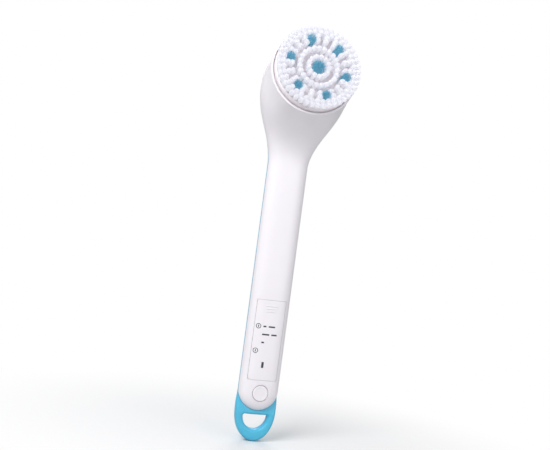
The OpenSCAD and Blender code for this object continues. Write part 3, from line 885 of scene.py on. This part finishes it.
def build_door(material):
    heights, rows = door_rows()
    obj = sheet("battery_door_skin", rows, lambda i: (0, 0, heights[i]))
    thicken(obj, WALL)
    tongue = rounded_panel(TAB_HALF_W, *TONGUE_Z, TONGUE_ROUNDING)
    latch = rounded_panel(TAB_HALF_W, *LATCH_Z, LATCH_ROUNDING)
    combine(obj, "UNION", prism("tongue", tongue, *TONGUE_SPAN, y_axis(0, 0)),
            prism("latch", latch, *LATCH_SPAN, y_axis(0, 0)))
    finish_piece(obj, material, "battery_door", "white_shell", "battery_door")


def surface_bar(name, place, size, span, rounding=0.0):
    """Bar of size (width, height) that follows the handle's front over a span of lifts."""
    (x, z), (width, height), (low, high) = place, size, span
    cols = 13
    xs = spread(x - width / 2, x + width / 2, cols)
    bottom, top = z - height / 2, z + height / 2
    section = [(bottom, low), (bottom, high), (top, high), (top, low)]
    points = [on_handle(px, pz, lift) for px in xs for pz, lift in section]
    ends = [tuple(range(4)), tuple(range(4 * cols - 4, 4 * cols))]
    obj = make(name, points, grid_faces(cols, 4, True) + ends)
    if rounding:
        round_edges(obj, rounding)
        bake(obj)
    return obj


def surface_ring(name, place, radii, span):
    """Ring of radii (outer, inner) that follows the handle's front over a span of lifts."""
    (x, z), (outer, inner), (low, high) = place, radii, span
    turns = 40
    section = [(inner, low), (outer, low), (outer, high), (inner, high)]
    points = [on_handle(x + r * math.cos(a), z + r * math.sin(a), lift)
              for a in (2 * math.pi * i / turns for i in range(turns)) for r, lift in section]
    return make(name, points, grid_faces(turns, 4, True, True))


def build_thumb_grip(material):
    for index, (z, width) in enumerate(THUMB_RIDGES, 1):
        ridge = surface_bar(f"thumb_ridge_{index}", (0, z), (width, RIDGE_HEIGHT), RIDGE_SPAN,
                            RIDGE_ROUNDING)
        finish_piece(ridge, material, "battery_door", "white_shell")


def build_print(material):
    """Plain rings, dashes and a bar: marks that spell nothing."""
    ring_places = [(PRINT_RING_X, z) for z in PRINT_RING_HEIGHTS]
    marks = [surface_ring(f"print_ring_{i}", place, PRINT_RING_R, PRINT_SPAN)
             for i, place in enumerate(ring_places, 1)]
    marks += [surface_bar(f"print_tick_{i}", place, PRINT_TICK, PRINT_SPAN)
              for i, place in enumerate(ring_places, 1)]
    marks += [surface_bar(f"print_dash_{i}", (x, z), (width, PRINT_DASH_HEIGHT), PRINT_SPAN)
              for i, (x, z, width) in enumerate(PRINT_DASHES, 1)]
    marks.append(surface_bar("print_bar", PRINT_BAR_PLACE, PRINT_BAR, PRINT_SPAN))
    for mark in marks:
        finish_piece(mark, material, "battery_door", "black_plastic")


def build_button(material):
    """Cap with a slightly hollow top, the flange that holds it in, and the stem behind it."""
    flange_back, flange_front = BUTTON_FLANGE
    top = [(r, y, 0) for r, y in BUTTON_TOP]
    rest = [(BUTTON_R, flange_front, 0), (BUTTON_FLANGE_R, flange_front, 0),
            (BUTTON_FLANGE_R, flange_back, 0), (BUTTON_STEM_R, flange_back, 0),
            (BUTTON_STEM_R, BUTTON_STEM_END, 0), (0, BUTTON_STEM_END, 0)]
    profile = [(p.x, p.y) for p in rounded_path(top + rest, BUTTON_ROUNDING)]
    obj = lathe("power_button_cap", profile, y_axis(0, BUTTON_Z))
    finish_piece(obj, material, "power_button", "white_shell", "power_button")


# ---------- brush head ----------

def double_d(radius, flat):
    """Circle of radius with two flats."""
    count = 64
    return [(radius * math.cos(a), max(-flat, min(flat, radius * math.sin(a))))
            for a in (2 * math.pi * i / count for i in range(count))]


def build_brush_base(spin, material):
    """Round base with a hub behind it and the socket for the spindle's double-D end."""
    outline = [(0, BRUSH_FRONT, 0), (BRUSH_R, BRUSH_FRONT, 0), (BRUSH_R, BRUSH_BACK, 0),
               (HUB_R, BRUSH_BACK, 0), (HUB_R, HUB_BACK, 0), (0, HUB_BACK, 0)]
    profile = [(p.x, p.y) for p in rounded_path(outline, BRUSH_EDGE_R)]
    obj = lathe("brush_base_disc", profile, spin, 192)
    socket = prism("socket", double_d(SOCKET_R, SOCKET_FLAT), *SOCKET_SPAN, spin)
    combine(obj, "DIFFERENCE", socket)
    finish_piece(obj, material, "brush_head", "brush_base", "brush_base")


def tuft_places():
    """(radius, angle) of every white tuft."""
    places = [(r, math.radians(CLUSTER_PHASE) + 2 * math.pi * i / n)
              for r, n in WHITE_ROWS for i in range(n)]
    step = 360 / CLUSTER_COUNT
    for c in range(CLUSTER_COUNT):
        for r, n in BETWEEN_ROWS:
            for share in spread(0.5 - BETWEEN_SPAN / 2, 0.5 + BETWEEN_SPAN / 2, n):
                places.append((r, math.radians(CLUSTER_PHASE + (c + share) * step)))
    return places


def add_filament(points, faces, root, tip, bend, thick):
    """Four-sided bristle that bends once and is closed at both ends."""
    start = len(points)
    sides = ((1, 0), (0, 1), (-1, 0), (0, -1))
    middle = (root + tip) / 2 + bend
    end_r = FILAMENT_TAPER * thick
    for centre, r in ((root, end_r), (middle, thick), (tip, end_r)):
        points.extend((centre.x + r * sx, centre.y + r * sy, centre.z) for sx, sy in sides)
    for level in (0, 4):
        for j in range(4):
            k = (j + 1) % 4
            faces.append((start + level + j, start + level + k,
                          start + level + 4 + k, start + level + 4 + j))
    faces.append(tuple(start + j for j in (3, 2, 1, 0)))
    faces.append(tuple(start + 8 + j for j in range(4)))


def add_tuft(points, faces, draw, place, tuft):
    """Bundle of filaments: it spreads towards its tips and leans outwards with its distance."""
    radius, angle = place
    way = Vector((math.cos(angle), math.sin(angle), 0))
    foot = radius * way
    lean = BRISTLE_LEAN * (radius / WHITE_ROWS[-1][0]) ** 2 * way
    for i in range(tuft.count):
        share = math.sqrt((i + 0.5) / tuft.count)
        turn = GOLDEN_ANGLE * i + draw.uniform(-TURN_JITTER, TURN_JITTER)
        out = Vector((math.cos(turn), math.sin(turn), 0)) * share
        root = foot + tuft.root_r * out + Vector((0, 0, BRUSH_FRONT - ROOT_SINK))
        height = BRISTLE_TIP - tuft.crown * share * share - draw.uniform(0, HEIGHT_JITTER)
        stray = Vector((draw.gauss(0, TIP_JITTER), draw.gauss(0, TIP_JITTER), height))
        tip = foot + tuft.tip_r * out + lean + stray
        sway = Vector((draw.gauss(0, BEND_JITTER), draw.gauss(0, BEND_JITTER), 0))
        add_filament(points, faces, root, tip, sway - BEND_SHARE * lean, tuft.thick)


def bristle_object(name, points, faces, spin):
    """Mesh object from points on the spin axis, with no point merged."""
    mesh = bpy.data.meshes.new(name)
    mesh.from_pydata([spin @ Vector(p) * MM for p in points], [], faces)
    obj = bpy.data.objects.new(name, mesh)
    bpy.context.scene.collection.objects.link(obj)
    return obj


def build_white_bristles(spin, material):
    draw = random.Random(WHITE_SEED)
    points, faces = [], []
    for place in tuft_places():
        tip_r = WHITE_TUFT.tip_r + TUFT_TIP_GROWTH * place[0] / WHITE_ROWS[-1][0]
        add_tuft(points, faces, draw, place, WHITE_TUFT._replace(tip_r=tip_r))
    obj = bristle_object("white_bristles", points, faces, spin)
    finish_piece(obj, material, "brush_head", "bristle_white", "white_tufts")


def build_blue_bristles(spin, material):
    draw = random.Random(BLUE_SEED)
    points, faces = [], []
    add_tuft(points, faces, draw, (0, 0), CENTRE_CLUSTER)
    for c in range(CLUSTER_COUNT):
        place = (CLUSTER_RING_R, math.radians(CLUSTER_PHASE + 360 * c / CLUSTER_COUNT))
        add_tuft(points, faces, draw, place, OUTER_CLUSTER)
    obj = bristle_object("blue_bristles", points, faces, spin)
    finish_piece(obj, material, "brush_head", "bristle_blue", "blue_tufts")


# ---------- carried CAD nodes ----------

def dress_nodes(frame):
    """Gives each CAD node that stays visible a material of its own kind."""
    steel = brushed("drawn_steel", linear(196, 198, 202), 0.3, STREAKS_ACROSS)
    turned = brushed("turned_steel", linear(206, 208, 212), 0.22, STREAKS_ALONG)
    brass = brushed("turned_brass", linear(214, 178, 96), 0.26, STREAKS_ALONG)
    nylon = moulded("natural_nylon", linear(232, 229, 214), roughness=0.42, grain_mm=0.5,
                    grain_depth=0.006, variation=0.03, glow=0.25)
    black = moulded("black_moulding", linear(52, 54, 58), roughness=0.5, grain_mm=0.3,
                    grain_depth=0.006, variation=0.06)
    rubber = moulded("silicone_rubber", linear(64, 68, 74), roughness=0.68, grain_mm=0.2,
                     grain_depth=0.004, variation=0.05)
    magnet = moulded("ferrite", linear(48, 47, 50), roughness=0.72, grain_mm=0.15,
                     grain_depth=0.02, variation=0.1)
    winding = wound("armature_winding")
    board = circuit("circuit_board")
    epoxy = moulded("component_epoxy", linear(40, 41, 44), roughness=0.4, grain_mm=0.12,
                    grain_depth=0.003, variation=0.12)
    sleeve = cell_sleeve("cell_sleeve")
    red, dark = (moulded(name, colour, roughness=0.45, grain_mm=0.6, grain_depth=0.004,
                         variation=0.06)
                 for name, colour in (("red_insulation", linear(176, 34, 30)),
                                      ("black_insulation", linear(40, 40, 44))))
    kinds = {
        steel: ("motor_can", "switch_body", "contact_plates", "battery_springs"),
        turned: ("shell_screws", "board_screws", "motor_screws", "gearbox_screws", "gear_pin",
                 "output_spindle"),
        brass: ("motor_pinion", "spindle_bush"),
        nylon: ("compound_gear", "output_gear", "motor_end_cap"),
        black: ("gearbox_base", "gearbox_cover", "switch_plunger", "thrust_washer"),
        rubber: ("shell_seal", "spindle_seal"),
        magnet: ("motor_magnets",),
        winding: ("motor_rotor",),
        board: ("control_board",),
        epoxy: ("board_components",),
        sleeve: ("batteries",),
        red: ("battery_leads",),
        dark: ("motor_leads",),
    }
    for material, names in kinds.items():
        for name in names:
            node = frame["nodes"][name]
            node.data.materials.clear()
            node.data.materials.append(material)
            shade(node)


# ---------- studio ----------

def build_floor(bottom):
    """Pale floor that the camera sees fade to plain white away from the object."""
    sides = ((-1, -1), (1, -1), (1, 1), (-1, 1))
    corners = [(FLOOR_REACH * x, FLOOR_REACH * y, bottom) for x, y in sides]
    obj = make("floor", corners, [(0, 1, 2, 3)])
    look = Look("pale_floor")
    speck = look.noise(2.5, detail=2)
    seen = look.node("ShaderNodeLightPath").outputs["Is Camera Ray"]
    pale = look.ramp(speck, (0.90, 0.90, 0.90), (0.93, 0.93, 0.93))
    dull = look.node("ShaderNodeMix", {"Factor": seen, "A": (0.6, 0.6, 0.6, 1), "B": pale},
                     data_type="RGBA")
    look.set(Base_Color=dull.outputs["Result"], Roughness=0.9)
    far = look.node("ShaderNodeVectorMath", {0: look.where}, operation="LENGTH").outputs["Value"]
    start, end = FLOOR_FADE
    fade = look.node("ShaderNodeMapRange",
                     {"Value": far, "From Min": start * MM, "From Max": end * MM},
                     interpolation_type="SMOOTHSTEP").outputs["Result"]
    share = look.node("ShaderNodeMath", {0: fade, 1: seen}, operation="MULTIPLY").outputs[0]
    white = look.node("ShaderNodeEmission", {"Color": (1, 1, 1, 1), "Strength": 1.0}).outputs[0]
    look.surface(share, white)
    obj.data.materials.append(look.material)


def build_world():
    """White to the camera, softer as a light."""
    world = bpy.data.worlds.new("studio")
    bpy.context.scene.world = world
    world.use_nodes = True
    tree = world.node_tree
    back = tree.nodes["Background"]
    back.inputs["Color"].default_value = (0.97, 0.975, 1.0, 1)
    back.inputs["Strength"].default_value = WORLD_LIGHT
    seen = tree.nodes.new("ShaderNodeBackground")
    seen.inputs["Color"].default_value = (1, 1, 1, 1)
    path = tree.nodes.new("ShaderNodeLightPath")
    mix = tree.nodes.new("ShaderNodeMixShader")
    tree.links.new(path.outputs["Is Camera Ray"], mix.inputs[0])
    tree.links.new(back.outputs[0], mix.inputs[1])
    tree.links.new(seen.outputs[0], mix.inputs[2])
    tree.links.new(mix.outputs[0], tree.nodes["World Output"].inputs["Surface"])


def add_lamp(name, place, target, size, power):
    """Soft round lamp at place, turned towards target."""
    light = bpy.data.lights.new(name, "AREA")
    light.shape = "DISK"
    light.size = size * MM
    light.energy = power
    obj = bpy.data.objects.new(name, light)
    obj.location = Vector(place) * MM
    obj.rotation_euler = (Vector(target) - Vector(place)).to_track_quat("-Z", "Y").to_euler()
    bpy.context.scene.collection.objects.link(obj)


def build_camera():
    """Level camera, a little to the left of straight in front of the object, and rolled."""
    right = Vector((math.cos(CAMERA_AZIMUTH), math.sin(CAMERA_AZIMUTH), 0))
    up = Vector((0, 0, 1))
    back = right.cross(up)
    rolled_right = math.cos(CAMERA_ROLL) * right + math.sin(CAMERA_ROLL) * up
    rolled_up = math.cos(CAMERA_ROLL) * up - math.sin(CAMERA_ROLL) * right
    slide_right, slide_up = CAMERA_SLIDE
    camera = bpy.data.cameras.new("camera")
    camera.lens = CAMERA_LENS
    camera.sensor_width = 36
    camera.clip_end = 20
    obj = bpy.data.objects.new("camera", camera)
    place = Matrix((rolled_right, rolled_up, back)).transposed().to_4x4()
    place.translation = (Vector((0, 0, CAMERA_AIM_Z)) + CAMERA_AWAY * back
                         + slide_right * rolled_right + slide_up * rolled_up) * MM
    obj.matrix_world = place
    bpy.context.scene.collection.objects.link(obj)
    bpy.context.scene.camera = obj


def main():
    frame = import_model()
    cad_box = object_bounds()
    spin = spin_place(frame)

    white = moulded("white_moulding", linear(244, 240, 245), roughness=0.30, grain_mm=0.4,
                    grain_depth=0.003, variation=0.008, glow=0.12)
    blue = moulded("blue_moulding", linear(84, 192, 226), roughness=0.36, grain_mm=0.4,
                   grain_depth=0.003, variation=0.02, glow=0.15)
    base = moulded("brush_base_moulding", linear(243, 236, 240), roughness=0.34, grain_mm=0.4,
                   grain_depth=0.003, variation=0.01, glow=0.12)
    ink = moulded("print_ink", linear(52, 52, 62), roughness=0.55, grain_mm=0.2,
                  grain_depth=0.002, variation=0.08)

    build_front_shell(spin, white)
    build_rear_shell(blue)
    build_door(white)
    build_thumb_grip(white)
    build_print(ink)
    build_button(white)
    build_brush_base(spin, base)
    # Each filament colour runs from a painted shade tone up to a painted highlight tone.
    white_nylon = filament("white_nylon", linear(244, 244, 249), linear(254, 254, 255),
                           through=0.45, glow=0.15)
    build_white_bristles(spin, white_nylon)
    blue_nylon = filament("blue_nylon", linear(44, 132, 166), linear(168, 228, 242),
                          through=0.35, glow=0.22)
    build_blue_bristles(spin, blue_nylon)
    dress_nodes(frame)

    build_floor(cad_box[0][2] / MM)
    build_world()
    for lamp in LAMPS:
        add_lamp(*lamp)
    build_camera()
    bpy.context.scene.view_settings.view_transform = "Standard"


main()
